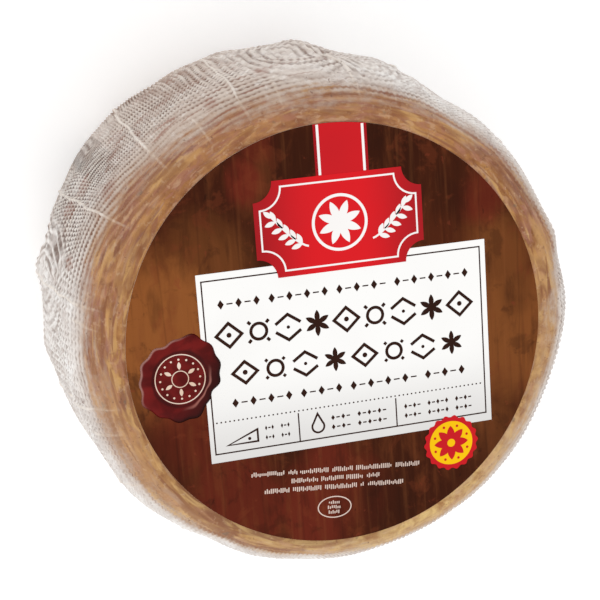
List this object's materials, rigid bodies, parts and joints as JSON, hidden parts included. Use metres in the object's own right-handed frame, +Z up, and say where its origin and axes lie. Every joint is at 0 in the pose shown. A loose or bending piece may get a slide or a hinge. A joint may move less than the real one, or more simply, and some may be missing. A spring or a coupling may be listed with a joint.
{
  "type": "pecorino cheese wheel",
  "caption": "Whole drum-shaped wheel of hard cheese with a rounded, cloth-marked rind and a flat round paper label on its upper face.",
  "frame": {"origin": "middle of the bounding box's base, on the flat lower face that the wheel lies on, under the middle of the drum", "axes": "+Z up through the drum to the labelled face, +X to the label's right and +Y to the label's top"},
  "size_m": [0.1668, 0.1676, 0.1063],
  "materials": {
    "rind": "matte",
    "label_paper": "satin",
    "print_white": "satin",
    "print_red": "satin",
    "print_brown": "satin",
    "print_wax": "satin",
    "print_yellow": "satin"
  },
  "bodies": {
    "root": {"wheel": "rind", "label": "label_paper"}
  },
  "joints": []
}
